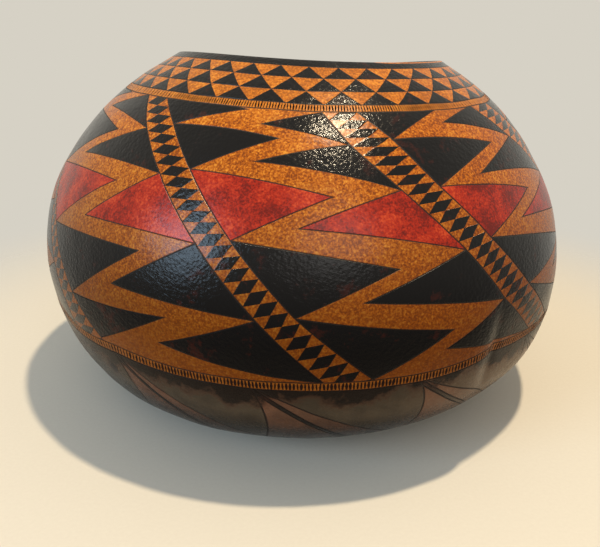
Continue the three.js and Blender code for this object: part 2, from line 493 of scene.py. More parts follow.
def ring_layout(down, angle, points):
    """Turns round and millimetres down, as the maker's rows have them."""
    lean = UPPER_LEAN * np.sin(angle)
    low = sum(swell(angle, *rise) for rise in LOWER_RISES)
    near_lip = np.clip(down / UPPER_BORDER[0], 0, 1)
    upper_part = near_lip * np.clip(1 - (down - UPPER_BORDER[1]) / UPPER_LEAN_REACH, 0, 1)
    lower_part = np.clip((down - LOWER_SHIFT_START) / LOWER_SHIFT_REACH, 0, 1)
    uneven, aside = (WANDER * ripple(points, WANDER_SIZE, seed) for seed in WANDER_SEEDS)
    sideways = aside / np.maximum(ring_at(down)[0], WANDER_RADIUS)
    rows = down - lean * upper_part + low * lower_part + uneven * near_lip
    return np.stack([(angle + sideways) / (2 * np.pi), rows], axis=-1)


print("borders at", UPPER_BORDER, "and", LOWER_BORDER, "mm down the wall")

# %% [markdown]
# ## The rind
#
# The rind is the piece that is seen, so it gets 432 steps round and a ring every 2.6 mm. It
# also gets the low lumps that every gourd has, which make the highlights waver, and a narrow
# furrow in the fold of the dent. The lumps fade out at the foot, which stands flat.

# %% Rind, from the base up over the lip and down inside
RIND_WALL, LAYER_GAP = 3, 0.3
PITH_AT_LIP = 4.5
LIP_CROWN, CROWN_SQUARENESS = 1.4, 3
AROUND = 432
WALL_RINGS, BASE_RINGS, LIP_RINGS, INNER_RINGS = 152, 14, 9, 24
INNER_START = 3
LUMPS = [(0.45, 38, 1.0), (0.16, 13, 5.0)]
FADE_FROM_FOOT, FADE_LENGTH, FADE_FROM_LIP = 25, 60, 12
FURROW_DEPTH, FURROW_ANGLE, FURROW_WIDTH = 1.1, math.radians(38.8), math.radians(1.3)
FURROW_HEIGHT, FURROW_HALF_HEIGHT = 88, 26

angles = np.linspace(-np.pi, np.pi, AROUND + 1)
base_downs = np.linspace(WHOLE_LENGTH, WALL_LENGTH, BASE_RINGS + 1)[1:-1]
wall_downs = np.linspace(WALL_LENGTH, 0, WALL_RINGS + 1)
outer_downs = np.concatenate([base_downs, wall_downs])


def lip_crown(across):
    """Height of the rounded cut edge over the full wall, with soft corners."""
    return LIP_CROWN * np.sqrt(np.maximum(1 - np.abs(2 * across - 1) ** CROWN_SQUARENESS, 0))


def lip_rings(start, end, count, lip_angles):
    """Rings over the cut lip between two depths in the wall."""
    flat = 0 * lip_angles
    top, (up, out) = grown(flat, lip_angles), directions(flat, lip_angles)
    depths = start + (end - start) * (1 - np.cos(np.linspace(0, np.pi, count))) / 2
    whole = RIND_WALL + LAYER_GAP + PITH_AT_LIP
    return depths, np.stack([top - out * d + up * lip_crown(d / whole) for d in depths])


down_grid, angle_grid, skin, skin_out = wall_grid(outer_downs, angles[:-1])
fade = np.clip((WALL_LENGTH - FADE_FROM_FOOT - down_grid) / FADE_LENGTH, 0, 1)
lumps = fade * np.clip(down_grid / FADE_FROM_LIP, 0, 1) * ripples(skin, LUMPS)
furrow_across = (angle_grid - FURROW_ANGLE) / FURROW_WIDTH
furrow_up = (skin[..., 2] - FURROW_HEIGHT) / FURROW_HALF_HEIGHT
furrow = FURROW_DEPTH * np.exp(-(furrow_across**2) - furrow_up**2)
skin = skin + skin_out * (lumps - furrow)[..., None]

lip_depths, lip = lip_rings(0, RIND_WALL, LIP_RINGS, angles[:-1])
inner_downs = np.linspace(INNER_START, WHOLE_LENGTH, INNER_RINGS + 1)[:-1]
inner, inner_out = wall_grid(inner_downs, angles[:-1])[2:]
rind_rings = np.concatenate([skin, lip[1:], inner - RIND_WALL * inner_out])
print("rind rings:", len(rind_rings), "lumps from %.2f to %.2f mm" % (lumps.min(), lumps.max()))

# %% [markdown]
# The rows that go round are stored as a UV map, in turns and millimetres, and the distances to
# bands and triangles as marks on the corners of the faces. Past the lip the map runs on below
# zero, so that the dye can stop part of the way over the cut edge.

# %% Rind with its layout
wide_down, wide_angle = np.meshgrid(outer_downs, angles, indexing="ij")
wide_skin = np.concatenate([skin, skin[:, :1]], axis=1)
ring_map = ring_layout(wide_down, wide_angle, wide_skin)
past_lip = np.concatenate([-lip_depths[1:], -RIND_WALL - inner_downs])
base_middle = grown(np.array(WHOLE_LENGTH), np.array(0.0))
rind = closed_skin(
    "rind",
    rind_rings,
    np.concatenate([ring_map, plain_map(past_lip, AROUND)]),
    base_middle,
    base_middle + [0, 0, RIND_WALL],
    ornament_marks(outer_downs, angles, wide_skin),
)
print("marks on the rind:", [attribute.name for attribute in rind.data.attributes][-5:])

# %% [markdown]
# ## The pith
#
# Inside the rind lies the pith, 4.5 mm thick at the lip and 8 mm at the base. It was scraped
# with a tool drawn up and down, which left shallow flutes, so its inner face is ribbed a
# little along the wall and lumpy all over.

# %% Pith lining
PITH_AT_BASE = 8
PITH_AROUND = 360
PITH_RINGS, PITH_BACK_RINGS, PITH_LIP_RINGS = 120, 22, 11
PITH_BACK_START, PITH_FACE_START = 3, 2
PITH_LUMPS = [(0.8, 30, 21.0), (0.35, 9, 33.0)]
FLUTES, FLUTE_DEPTH = 74, 0.28
FLUTE_BENDS = [(5, 60, 41.0)]
SETTLE_LIP, SETTLE_BASE = 14, 60


def pith_wall(down):
    """Thickness of the pith at a distance down the wall."""
    wall_share = 1 - down / (2 * WALL_LENGTH)
    base_share = (WHOLE_LENGTH - down) / (2 * FOOT_RADIUS)
    share = np.where(down < WALL_LENGTH, wall_share, base_share)
    return PITH_AT_BASE + (PITH_AT_LIP - PITH_AT_BASE) * share


pith_start = RIND_WALL + LAYER_GAP
pith_angles = np.linspace(-np.pi, np.pi, PITH_AROUND + 1)[:-1]
pith_end = pith_start + PITH_AT_LIP
pith_lip_depths, pith_lip = lip_rings(pith_start, pith_end, PITH_LIP_RINGS, pith_angles)
back_downs = np.linspace(WHOLE_LENGTH, PITH_BACK_START, PITH_BACK_RINGS + 1)[1:]
back, back_out = wall_grid(back_downs, pith_angles)[2:]

face_downs = np.linspace(PITH_FACE_START, WHOLE_LENGTH, PITH_RINGS + 1)[:-1]
face_grid, face_angles, face, face_out = wall_grid(face_downs, pith_angles)
flutes = FLUTE_DEPTH * np.cos(FLUTES * face_angles + ripples(face, FLUTE_BENDS))
settle = np.clip(face_grid / SETTLE_LIP, 0, 1)
settle = settle * np.clip((WHOLE_LENGTH - face_grid) / SETTLE_BASE, 0, 1)
uneven = settle * (ripples(face, PITH_LUMPS) + flutes)
face = face - face_out * (pith_start + pith_wall(face_grid) + uneven)[..., None]
pith_downs = np.concatenate([back_downs, -pith_lip_depths, face_downs])
pith = closed_skin(
    "pith",
    np.concatenate([back - pith_start * back_out, pith_lip, face]),
    plain_map(pith_downs, PITH_AROUND),
    base_middle + [0, 0, pith_start],
    base_middle + [0, 0, pith_start + PITH_AT_BASE],
)

# %% [markdown]
# ## The scar of the blossom
#
# Under the base, in the hollow, a small corky disc marks where the flower was. It cracks from
# the middle outwards as it dries, so its face has a few wandering radial grooves.

# %% Blossom scar
SCAR_RADIUS = 7
SCAR_THICKNESS, SCAR_EDGE = 1.6, 0.9
SCAR_AROUND, SCAR_RINGS = 120, 18
CRACKS, CRACK_DEPTH, CRACK_SHARPNESS = 9, 0.22, 6
CRACK_BENDS = [(2.5, 6, 51.0)]
SCAR_CRUMBS = [(0.08, 1.1, 57.0)]

scar_angles = np.linspace(-np.pi, np.pi, SCAR_AROUND + 1)[:-1]
scar_downs = WHOLE_LENGTH - np.linspace(0, SCAR_RADIUS, SCAR_RINGS + 1)[1:]
scar_down, scar_turn, scar_roof, scar_out = wall_grid(scar_downs, scar_angles)
scar_share = (WHOLE_LENGTH - scar_down) / SCAR_RADIUS
scar_crown = SCAR_THICKNESS + (SCAR_EDGE - SCAR_THICKNESS) * scar_share**2
crack_lines = np.cos(CRACKS * scar_turn + ripples(scar_roof, CRACK_BENDS)) ** CRACK_SHARPNESS
cracks = CRACK_DEPTH * crack_lines * np.sin(np.pi * scar_share)
scar_height = LAYER_GAP + scar_crown - cracks + ripples(scar_roof, SCAR_CRUMBS)
scar_face = scar_roof + scar_out * scar_height[..., None]
scar_back = scar_roof + scar_out * LAYER_GAP
scar = closed_skin(
    "scar",
    np.concatenate([scar_face, scar_back[::-1]]),
    plain_map(np.concatenate([scar_downs, scar_downs[::-1]]), SCAR_AROUND),
    base_middle - [0, 0, LAYER_GAP + SCAR_THICKNESS],
    base_middle - [0, 0, LAYER_GAP],
)

# %% [markdown]
# ## Trees of nodes
#
# Finishes, strokes, fibres and the room's light are all made by trees of nodes, so one method
# adds a node to any of them: its settings are set first, then each socket gets a value or a
# link.

# %% One way to add a node
class Tree:
    """A tree of nodes, and the one method that adds a node to it."""

    def __init__(self, tree):
        self.tree = tree

    def add(self, kind, inputs, output=0, **settings):
        """Adds a node and returns one of its outputs."""
        node = self.tree.nodes.new(kind)
        for name, value in settings.items():
            setattr(node, name, value)
        for key, value in inputs.items():
            if isinstance(value, bpy.types.NodeSocket):
                self.tree.links.new(value, node.inputs[key])
            else:
                node.inputs[key].default_value = value
        return node.outputs[output]


print("ready to add nodes")

# %% [markdown]
# ## Painting by numbers
#
# A finish is a tree of nodes, and most of the nodes here only do sums. The Signal class wraps a
# node's output so that it can be added, multiplied and compared like a number, and each sum
# adds its own Math node. Everything else, such as noise or a colour mix, comes from the one
# method called add.

# %% Signals
def both_ways(operation):
    """An operator and its reflected form, for one operation of a Math node."""

    def forward(self, other):
        return self.sums(operation, self, other)

    def reflected(self, other):
        return self.sums(operation, other, self)

    return forward, reflected


class Signal:
    """A value that varies over a surface and takes part in Python's sums."""

    def __init__(self, finish, socket):
        self.finish, self.socket = finish, socket

    def sums(self, operation, *values):
        """The result of one Math node."""
        return self.finish.add("ShaderNodeMath", values, operation=operation)

    __add__, __radd__ = both_ways("ADD")
    __sub__, __rsub__ = both_ways("SUBTRACT")
    __mul__, __rmul__ = both_ways("MULTIPLY")
    __truediv__, __rtruediv__ = both_ways("DIVIDE")
    __pow__, __rpow__ = both_ways("POWER")

    def __abs__(self):
        return self.sums("ABSOLUTE", self)

    def __neg__(self):
        return self.sums("MULTIPLY", self, -1)

    def fract(self):
        """What is left over past the last whole number."""
        return self.sums("FRACT", self)

    def least(self, other):
        """The smaller of two values."""
        return self.sums("MINIMUM", self, other)

    def most(self, other):
        """The larger of two values."""
        return self.sums("MAXIMUM", self, other)

    def held(self):
        """The value kept between 0 and 1."""
        return self.finish.add("ShaderNodeClamp", (self, 0, 1))

    def between(self, low, high):
        """0 at low, 1 at high, and a soft S between them."""
        share = ((self - low) / (high - low)).held()
        return share * share * (3 - 2 * share)

    def window(self, start, full, last, end):
        """0 before the start, 1 from full to last, and 0 again past the end."""
        return self.between(start, full) * (1 - self.between(last, end))


print("signals can be added, multiplied and compared")

# %% [markdown]
# A Finish is one material. Noise sizes are in millimetres on the object, so a grain stays the
# same size on every piece. A coat is a colour with the share of it that shows.

# %% Finishes
class Finish(Tree):
    """One material, with the few kinds of node that all finishes share."""

    def __init__(self, name):
        self.material = bpy.data.materials.new(name)
        self.material.use_nodes = True
        super().__init__(self.material.node_tree)
        self.tree.nodes.clear()

    def add(self, kind, inputs=(), output=0, **settings):
        """Adds a node and returns one of its outputs as a signal."""
        pairs = inputs.items() if isinstance(inputs, dict) else enumerate(inputs)
        plain = {key: value.socket if isinstance(value, Signal) else value for key, value in pairs}
        return Signal(self, super().add(kind, plain, output, **settings))

    def parts(self, vector, count):
        """The first numbers of a vector, one signal each."""
        outputs = self.add("ShaderNodeSeparateXYZ", (vector,)).socket.node.outputs
        return [Signal(self, outputs[axis]) for axis in range(count)]

    def place(self):
        """The point on the object, in metres."""
        return self.add("ShaderNodeTexCoord", output="Object")

    def layout(self):
        """Turns round and millimetres down, from the UV map."""
        return self.parts(self.add("ShaderNodeUVMap", uv_map="ring"), 2)

    def mark(self, name):
        """The three numbers of one of the marks."""
        return self.parts(self.add("ShaderNodeAttribute", (), "Vector", attribute_name=name), 3)

    def speckle(self, size, detail=3, roughness=0.55, at=None):
        """Noise from 0 to 1 with grains of about the given size in millimetres."""
        values = {"Vector": at or self.place(), "Scale": 1 / (size * MM), "Detail": detail,
                  "Roughness": roughness}
        return self.add("ShaderNodeTexNoise", values)

    def cells(self, size):
        """Distance from the middle of rounded cells of about the given size in millimetres."""
        values = {"Vector": self.place(), "Scale": 1 / (size * MM), "Smoothness": 0.6}
        return self.add("ShaderNodeTexVoronoi", values, feature="SMOOTH_F1")

    def blend(self, share, first, second):
        """A colour between two colours."""
        return self.add("ShaderNodeMix", {0: share, 6: first, 7: second}, 2, data_type="RGBA")

    def coated(self, under, coats):
        """A colour under coats of others, each given with its share."""
        return reduce(lambda below, coat: self.blend(coat[0], below, coat[1]), coats, under)

    def bump(self, height, strength, distance):
        """A normal for a relief of up to the given distance in millimetres."""
        values = {"Strength": strength, "Distance": distance * MM, "Height": height}
        return self.add("ShaderNodeBump", values)

    def surface(self, values):
        """A Principled BSDF with the given sockets."""
        return self.add("ShaderNodeBsdfPrincipled", values)

    def finish(self, surface):
        """Ends the tree in a surface and returns the material."""
        end = self.tree.nodes.new("ShaderNodeOutputMaterial")
        self.tree.links.new(surface.socket, end.inputs["Surface"])
        print("finish", self.material.name, "has", len(self.tree.nodes), "nodes")
        return self.material


print("ready to make finishes")

# %% [markdown]
# Colours are written as they look on a screen, and turned into light, because light is what a
# render adds up.

# %% Colours as light
def colour(red, green, blue):
    """A colour as it looks on a screen, 0 to 255, turned into light."""
    parts = (part / 255 for part in (red, green, blue))
    light = [p / 12.92 if p < 0.04045 else ((p + 0.055) / 1.055) ** 2.4 for p in parts]
    return (*light, 1)


print("the middle grey of a screen is %.2f of its full light" % colour(128, 128, 128)[0])

# %% [markdown]
# ## The rind's ornament as distances
#
# Every field of the ornament is a distance in millimetres: above zero inside it, below zero
# outside. The larger of two distances joins two fields, the smaller keeps what they share, and
# near zero lies the outline, which the maker scratched in first with a point. The black rim
# goes part of the way over the cut edge, but on the right it stops short and the edge is bare.

# %% Rim and lattice
RIM_BAND = 6
RIM_PAST_LIP, RIM_SHORT = 2.4, 3.2
BARE_SIDE = (0.02, 0.09, 0.2, 0.28)
LATTICE_LINES = [RIM_BAND, 16.5, 28, UPPER_BORDER[0]]
TRIANGLES = 36
APEX_SHIFTS = [0.55, 0.05, 0.55]
LATTICE_SLANT = 7.6

rind_finish = Finish("rind")
turns, down = rind_finish.layout()


def lattice_row(top, bottom, shift):
    """Black triangles that stand on one line and touch the line above."""
    share = (down - top) / (bottom - top)
    aside = abs((turns * TRIANGLES + shift).fract() - 0.5)
    triangle = (share - 2 * aside) * LATTICE_SLANT
    return triangle.least((down - top).least(bottom - down))


def to_nearest(rows):
    """Distance to the nearest of some rows that go round."""
    return reduce(Signal.least, [abs(down - row) for row in rows])


rim_edge = RIM_PAST_LIP - RIM_SHORT * turns.window(*BARE_SIDE)
lattice = (RIM_BAND - down).least(down + rim_edge)
for top, bottom, shift in zip(LATTICE_LINES, LATTICE_LINES[1:], APEX_SHIFTS):
    lattice = lattice.most(lattice_row(top, bottom, shift))
lattice_lines = to_nearest(LATTICE_LINES[:3])
print("lattice of", len(APEX_SHIFTS), "rows with", TRIANGLES, "triangles each")

# %% [markdown]
# A triangle is where both of its edges' distances are above zero. The triangles of the third
# row are red. A band's lozenges stand in steps down it: each runs from the band's right edge
# to its left edge, and low down they lean over.

# %% Bands, triangles and lozenges
LOZENGE_STEP, LOZENGE_SLANT = 6.05, 12
LOZENGE_TILT, TILT_START, TILT_END = 0.75, 80, 160
FAR = 100

from_left, from_right, _ = rind_finish.mark("band")
in_band = from_left.least(from_right)
in_ornament = (down - UPPER_BORDER[1]).least(LOWER_BORDER[0] - down)
fields, red_fields = [], []
for name in ("left_near", "left_next", "right_near", "right_next"):
    upper, lower, is_red = rind_finish.mark(name)
    fields.append(upper.least(lower))
    red_fields.append(fields[-1] - (1 - is_red) * FAR)
in_panel = in_ornament.least(-in_band)
triangles, red = (reduce(Signal.most, kind).least(in_panel) for kind in (fields, red_fields))

over_band = from_left / (from_left + from_right)
tilt = LOZENGE_TILT * down.between(TILT_START, TILT_END)
lozenge_row = ((down - UPPER_BORDER[1]) / LOZENGE_STEP + tilt * over_band).fract()
lozenge_line = over_band + lozenge_row * 0.5
lozenges = (lozenge_line - 0.5).least(1 - lozenge_line) * LOZENGE_SLANT
lozenges = lozenges.least(in_band).least(in_ornament)
black = triangles.most(lozenges).most(lattice)
print("the rind's tree has", len(rind_finish.tree.nodes), "nodes so far")

# %% [markdown]
# Under the lower border lies a rosette of twelve dark leaves. From each of its nodes on the
# border spring three things: the next leaf's blunt end, which runs nearly straight down, a rib
# of two lines that slants off to the right, and the leaf's upper edge, which slants more. The
# wedges between them are browner than the leaves. Distances round the petal are in degrees, so
# they are turned into millimetres square to each edge.

# %% Rosette on the base
PETALS, PETAL_DEGREES, ROSETTE_DEGREES = 12, 30, 38.5
PETAL_MM, LEAF_SQUARE, RIB_SQUARE = 2.4, 0.62, 0.78
BLUNT_END, BLUNT_TURN = 2.2, 14
RIB_SLANT, RIB_HALF_GAP = 0.335, 1.15
LEAF_START, LEAF_SLANT = 1.0, 0.5

beyond = down - LOWER_BORDER[1]
petal = (turns * PETALS + ROSETTE_DEGREES / PETAL_DEGREES).fract() * PETAL_DEGREES
blunt_end = BLUNT_END * (1 - math.e ** (beyond / -BLUNT_TURN))
leaf_edge = LEAF_START + LEAF_SLANT * beyond
wedge = ((petal - blunt_end) * PETAL_MM).least((leaf_edge - petal) * PETAL_MM * LEAF_SQUARE)
rib = abs(petal - RIB_SLANT * beyond) * PETAL_MM * RIB_SQUARE
leaf_lines = abs(wedge).least(abs(rib - RIB_HALF_GAP).most(-wedge))
on_base = beyond.between(-0.1, 0.1)
print("rosette of", PETALS, "leaves")

# %% [markdown]
# Thin lines are drawn the same way: the distance to the line is compared with half its width.
# They are both darker than the field and cut into the skin. The edge of the dye quivers a
# little, because the brush did.

# %% Lines and masks
EDGE_SOFTNESS, QUIVER = 0.3, 0.5
BORDER_LINE, BAND_LINE, TRIANGLE_LINE, LATTICE_LINE, LEAF_LINE = 0.4, 0.4, 0.35, 0.25, 0.42
quiver = (rind_finish.speckle(size=4.5, detail=2) - 0.5) * QUIVER


def stroke(distance, half_width):
    """1 on a line and 0 beside it."""
    return ((half_width - distance) / EDGE_SOFTNESS + 0.5).held()


def inked(distance, softness=EDGE_SOFTNESS):
    """1 inside a dyed field and 0 outside."""
    return ((distance + quiver) / softness + 0.5).held()


border_lines = to_nearest([*UPPER_BORDER, *LOWER_BORDER])
panel_lines = stroke(abs(in_band), BAND_LINE).most(stroke(abs(triangles), TRIANGLE_LINE))
lines = stroke(border_lines, BORDER_LINE).most(stroke(lattice_lines, LATTICE_LINE) * 0.9)
lines = lines.most(panel_lines * in_ornament.between(-0.2, 0.2))
black_mask, red_mask = inked(black), inked(red)
print("the rind's tree has", len(rind_finish.tree.nodes), "nodes so far")

# %% [markdown]
# ## The rind's colours
#
# The bare gourd is tan with a fine leathery grain and paler specks. Low down it turns browner in
# broad clouds: partly the gourd's own colour, and partly painted shade for the lower wall, which
# gets less light. The black is dye over scorched skin, and warm brown shows where it wore thin.
# The red is a stain that lets the grain through, and it is darker on the right.

# %% Grains of the skin
TURN_MM = 1150
BRUSH_LENGTH, BRUSH_DROP, BRUSH_RISE = 0.16, 0.4, 0.35

fine = rind_finish.speckle(size=1.3, roughness=0.65)
grain = rind_finish.speckle(size=3.2, roughness=0.6)
cloud = rind_finish.speckle(size=16)
broad = rind_finish.speckle(size=70, detail=2)
pores = rind_finish.cells(size=2.2)
along, across = turns * TURN_MM + down * BRUSH_DROP, down - turns * TURN_MM * BRUSH_RISE
combed = rind_finish.add("ShaderNodeCombineXYZ", (along * BRUSH_LENGTH * MM, across * MM, 0))
brushed = rind_finish.speckle(size=0.9, roughness=0.6, at=combed)


def blotches(fine_share, grain_share, cloud_share, less):
    """Blotches from three sizes of noise, brought back to between 0 and 1."""
    return (fine * fine_share + grain * grain_share + cloud * cloud_share - less).held()


print("the brush counts a turn round the bowl as", TURN_MM, "mm")

# %% Colours of the fields
TAN_DARK, TAN, TAN_PALE = colour(122, 56, 4), colour(189, 100, 10), colour(233, 159, 56)
TAN_LOW_AND_SHADE, TAN_BORDER = colour(94, 44, 5), colour(218, 140, 48)
RED_DARK, RED, RED_PALE = colour(106, 20, 10), colour(166, 37, 15), colour(212, 82, 38)
BLACK, BLACK_WARM = colour(9, 7, 8), colour(60, 20, 11)
DARKER_RED_SIDE = (0.06, 0.12, 0.3, 0.35)
LOW_DOWN, CLOUD_DROP = (95, 235), 60

mottle = blotches(1.3, 0.4, 0.4, less=0.55)
tan = rind_finish.coated(TAN_DARK, [
    (mottle.between(0.3, 0.6), TAN),
    (mottle.between(0.52, 0.8) * 0.8, TAN_PALE),
    # Browner low down: partly the gourd's own colour, partly painted shade of the lower wall.
    ((down + cloud * CLOUD_DROP).between(*LOW_DOWN) * 0.8, TAN_LOW_AND_SHADE),
    ((broad * cloud).between(0.3, 0.42) * 0.3, TAN_DARK),
])
# The red is darker on the right.
stain = blotches(1.0, 0.45, 0.9, less=0.68 + turns.window(*DARKER_RED_SIDE) * 0.12)
crimson = rind_finish.coated(RED_DARK, [
    (stain.between(0.25, 0.55), RED),
    (stain.between(0.5, 0.8) * 0.75, RED_PALE),
])
worn = (cloud + grain * 0.5).between(0.83, 0.98) * (fine + 0.2).held()
soot = rind_finish.blend(worn * 0.75, BLACK, BLACK_WARM)
print("the rind's tree has", len(rind_finish.tree.nodes), "nodes so far")

# %% [markdown]
# The base is smoky rather than black. Right under the border the dye ran into ragged black
# patches with a warm glow at their edges. They reach further down on the left. On the right the
# base is paler, partly from thinner dye and partly from a painted sheen. Lower down the leaves
# turn darker and cooler: that is painted shade, as the underside turns away from the lamp.

# %% Colours of the base, and all of them together
LEAF_HIGH, LEAF_DARK_AND_SHADE = colour(70, 59, 46), colour(22, 20, 18)
WEDGE_HIGH, WEDGE_SHADED = colour(108, 74, 55), colour(36, 27, 22)
SMOKE_PALE_SHEEN, BASE_BLACK, SCORCH = colour(128, 103, 82), colour(12, 6, 5), colour(60, 24, 10)
INK = colour(18, 12, 11)
RAGGED_SIDE, PALE_SHEEN_SIDE = (-0.27, -0.21, -0.18, -0.15), (0.04, 0.12, 0.25, 0.32)
CLEAN_SIDE = (0.03, 0.055, 0.1, 0.115)
CLOUD_REACH, GRAIN_REACH, CLEAN_REACH, RAGGED_REACH = 40, 10, 7, 6
BLACK_ENDS, SCORCH_ENDS, PALE_SHEEN_ENDS = (6, 13), (9, 19), (35, 100)
LEAF_SHADE_SPAN, WEDGE_SHADE_SPAN, SHOULDER_PALES = (18, 46), (10, 50), (30, 60)

smoke = (cloud - 0.5) * CLOUD_REACH + (grain - 0.5) * GRAIN_REACH
smoke = smoke + turns.window(*CLEAN_SIDE) * CLEAN_REACH - turns.window(*RAGGED_SIDE) * RAGGED_REACH
ragged, scorched = (1 - (beyond + smoke).between(*ends) for ends in (BLACK_ENDS, SCORCH_ENDS))
# The leaves darken and cool further down: painted shade of the underside.
leaf = rind_finish.blend(beyond.between(*LEAF_SHADE_SPAN) * 0.9, LEAF_HIGH, LEAF_DARK_AND_SHADE)
base = rind_finish.coated(leaf, [
    # The wedges darken further down too: painted shade.
    (inked(wedge, 0.8), rind_finish.blend(beyond.between(*WEDGE_SHADE_SPAN), WEDGE_HIGH, WEDGE_SHADED)),
    (stroke(rib, RIB_HALF_GAP) * inked(wedge), LEAF_DARK_AND_SHADE),
    (cloud.between(0.4, 0.7) * 0.35, BASE_BLACK),
    (brushed.between(0.45, 0.7) * 0.16, LEAF_HIGH),
    # Paler on the right: partly thinner dye, partly a painted sheen.
    (turns.window(*PALE_SHEEN_SIDE) * (1 - beyond.between(*PALE_SHEEN_ENDS)) * 0.4, SMOKE_PALE_SHEEN),
    (scorched * 0.5, SCORCH),
    (ragged * 0.92, BASE_BLACK),
])
base_lines = stroke(leaf_lines, LEAF_LINE) * on_base * (1 - ragged * 0.7)
groove = lines.most(base_lines)

in_upper, in_lower = (
    inked((down - top).least(bottom - down)) for top, bottom in (UPPER_BORDER, LOWER_BORDER)
)
paler = (1 - down.between(*SHOULDER_PALES)) * 0.2 + in_upper * 0.25 + in_lower * 0.12
skin_colour = rind_finish.coated(tan, [
    (paler, TAN_BORDER),
    (black_mask, soot),
    (red_mask, crimson),
    (on_base, base),
    (groove * 0.92, INK),
])
print("the rind's tree has", len(rind_finish.tree.nodes), "nodes so far")

# %% [markdown]
# The relief is shallow. Scratched lines are grooves, and the whole skin has a fine pebble. It
# is coarser in the dyed fields, because the dye was burnt in, yet they shine a little more.
# Hands and oil polished the shoulder, while the lower part stayed dull, so two surfaces that
# differ only in how much they reflect are mixed from the top down.

# %% Relief and gloss
SHINE_HIGH, SHINE_LOW = 0.3, 0.07
POLISH_FADES, POLISH_ENDS = 115, 190
RELIEF_STRENGTH, RELIEF_DEPTH = 0.6, 0.8

dyed = inked(black, 0.7) * (1 - on_base) * (1 - red_mask)
pebble = pores * 0.5 + grain * 0.5 + fine * 0.25
relief = pebble * (0.25 + dyed * 0.5) + brushed * (dyed + on_base * 0.5) * 0.3
relief = relief - dyed * 0.3 - groove * 0.7
gloss = 0.27 + (grain - 0.5) * 0.16 + (cloud - 0.5) * 0.12 - dyed * 0.09 + groove * 0.2
skin_sockets = {
    "Base Color": skin_colour,
    "Roughness": gloss,
    "Normal": rind_finish.bump(relief, RELIEF_STRENGTH, RELIEF_DEPTH),
}
dull, polished = (
    rind_finish.surface({**skin_sockets, "Specular IOR Level": shine})
    for shine in (SHINE_LOW, SHINE_HIGH)
)
polish = 1 - down.between(POLISH_FADES, POLISH_ENDS)
mixed = rind_finish.add("ShaderNodeMixShader", (polish, dull, polished))
rind_material = rind_finish.finish(mixed)
rind.data.materials.append(rind_material)

# %% [markdown]
# ## Pith and scar
#
# Scraped pith is dry and matt. Its fibres run up and down the wall, so the noise that colours
# it is stretched along the wall by using turns and millimetres instead of the point in space.
# Near the lip it has taken up some of the dye, except where the rim is bare.

# %% Finish of the pith
PITH_PALE, PITH_TAN = colour(206, 172, 124), colour(170, 126, 78)
PITH_BROWN, PITH_STAIN = colour(98, 62, 34), colour(34, 22, 16)
FIBRE_ROUND, FIBRE_DOWN = 1.1, 0.1
DYE_WANDER, DYE_ENDS = 5, (4, 9)

pith_finish = Finish("pith")
pith_turn, pith_down = pith_finish.layout()
stretched = pith_finish.add(
    "ShaderNodeCombineXYZ", (pith_turn * FIBRE_ROUND, pith_down * FIBRE_DOWN * MM, 0)
)
streaks = pith_finish.speckle(size=2.4, detail=4, roughness=0.6, at=stretched)
patches = pith_finish.speckle(size=28, detail=4)
crumbs = pith_finish.speckle(size=1.6, roughness=0.7)
dye_edge = 1 - (abs(pith_down) + (patches - 0.5) * DYE_WANDER).between(*DYE_ENDS)
pith_colour = pith_finish.coated(PITH_TAN, [
    (streaks.between(0.3, 0.7), PITH_PALE),
    (patches.between(0.5, 0.72) * 0.6, PITH_BROWN),
    (crumbs.between(0.62, 0.8) * 0.5, PITH_BROWN),
    (dye_edge * 0.9 * (1 - pith_turn.window(*BARE_SIDE) * 0.9), PITH_STAIN),
])
pith_relief = streaks * 0.7 + crumbs * 0.5 + patches * 0.4
pith_material = pith_finish.finish(pith_finish.surface({
    "Base Color": pith_colour,
    "Roughness": 0.7 + streaks * 0.2,
    "Normal": pith_finish.bump(pith_relief, RELIEF_STRENGTH, RELIEF_DEPTH),
}))
pith.data.materials.append(pith_material)

# %% [markdown]
# The scar is brown cork with a pale crumbly edge, and the small pits of its relief are painted
# darker, as painted shade. The burnt strokes of the borders are nearly black and quite matt.

# %% Finishes of the scar and the burnt strokes
CORK_DARK, CORK, CORK_PIT_SHADE = colour(46, 30, 20), colour(108, 78, 50), colour(30, 20, 15)
CORK_EDGE, CORK_RELIEF = colour(132, 104, 72), (0.7, 0.4)
CHAR_WARM, CHAR_SHINE = colour(40, 20, 13), 0.05

scar_finish = Finish("scar")
scar_row = scar_finish.layout()[1]
cork = scar_finish.speckle(size=0.9, detail=4, roughness=0.7)
cork_cells = scar_finish.cells(size=1.4)
from_middle = (WHOLE_LENGTH - scar_row) / SCAR_RADIUS
scar_colour = scar_finish.coated(CORK_DARK, [
    (cork, CORK),
    (from_middle.between(0.75, 1) * 0.6, CORK_EDGE),
    # Darker in the pits of the cells: painted shade.
    ((1 - cork_cells).between(0.55, 0.9) * 0.5, CORK_PIT_SHADE),
])
scar_material = scar_finish.finish(scar_finish.surface({
    "Base Color": scar_colour,
    "Roughness": 0.82 + cork * 0.1,
    "Normal": scar_finish.bump(cork + cork_cells * 0.6, *CORK_RELIEF),
}))
scar.data.materials.append(scar_material)

stroke_finish = Finish("burnt_stroke")
char = stroke_finish.speckle(size=1.1)
stroke_material = stroke_finish.finish(stroke_finish.surface({
    "Base Color": stroke_finish.blend(char, INK, CHAR_WARM),
    "Roughness": 0.6 + char * 0.2,
    "Specular IOR Level": CHAR_SHINE,
}))

# %% [markdown]
# ## Hatching the borders
#
# The border's middle line is taken from the finished skin, ring by ring, so the strokes follow
# every lump. The maker spaced the strokes by eye, closer in front than at the sides, so the
# spacing is given in degrees at some bearings, and the line gets one point for each stroke.

# %% Middle lines of the borders
BEARING_STEP = 0.1


